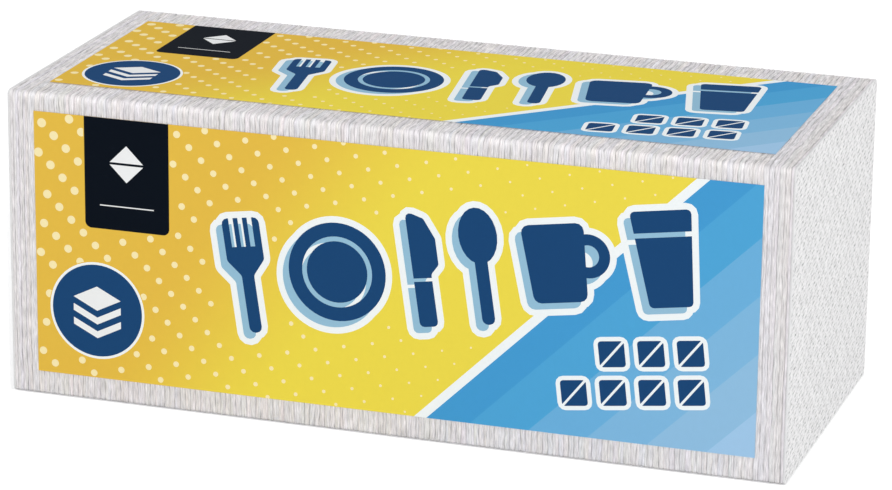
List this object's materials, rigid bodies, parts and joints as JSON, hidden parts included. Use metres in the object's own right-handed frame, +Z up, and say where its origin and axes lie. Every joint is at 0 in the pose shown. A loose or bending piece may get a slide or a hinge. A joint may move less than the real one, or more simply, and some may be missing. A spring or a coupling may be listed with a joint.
{
  "type": "wrapped stack of paper napkins",
  "caption": "Block of quarter-folded paper napkins stood on edge and held together by a clear printed film wrap.",
  "frame": {"origin": "middle of the base, on the surface that the pack stands on", "axes": "+X along the stack of napkins, +Y from the printed front to the back, +Z up; metres"},
  "size_m": [0.3694, 0.159, 0.145],
  "materials": {
    "tissue": "soft uncoated embossed tissue paper, white",
    "clear_film": "thin clear polyethylene film",
    "yellow_ink": "print on film, amber to yellow",
    "white_ink": "print on film, white",
    "blue_ink_1": "print on film, deepest blue band",
    "blue_ink_2": "print on film, second blue band",
    "blue_ink_3": "print on film, third blue band",
    "blue_ink_4": "print on film, fourth blue band",
    "blue_ink_5": "print on film, fifth blue band",
    "blue_ink_6": "print on film, palest blue band",
    "cream_ink": "print on film, cream",
    "dark_ink": "print on film, near black",
    "sky_ink": "print on film, light blue",
    "navy_ink": "print on film, navy"
  },
  "bodies": {
    "root": {"napkins": "tissue", "film_wrap": "clear_film", "print_yellow_field": "yellow_ink", "print_white_stripe": "white_ink", "print_blue_band_1": "blue_ink_1", "print_blue_band_2": "blue_ink_2", "print_blue_band_3": "blue_ink_3", "print_blue_band_4": "blue_ink_4", "print_blue_band_5": "blue_ink_5", "print_blue_band_6": "blue_ink_6", "print_cream_dots": "cream_ink", "print_dark_tab": "dark_ink", "print_white_borders": "white_ink", "print_sky_shadows": "sky_ink", "print_navy_pictures": "navy_ink", "print_white_marks": "white_ink"}
  },
  "joints": []
}
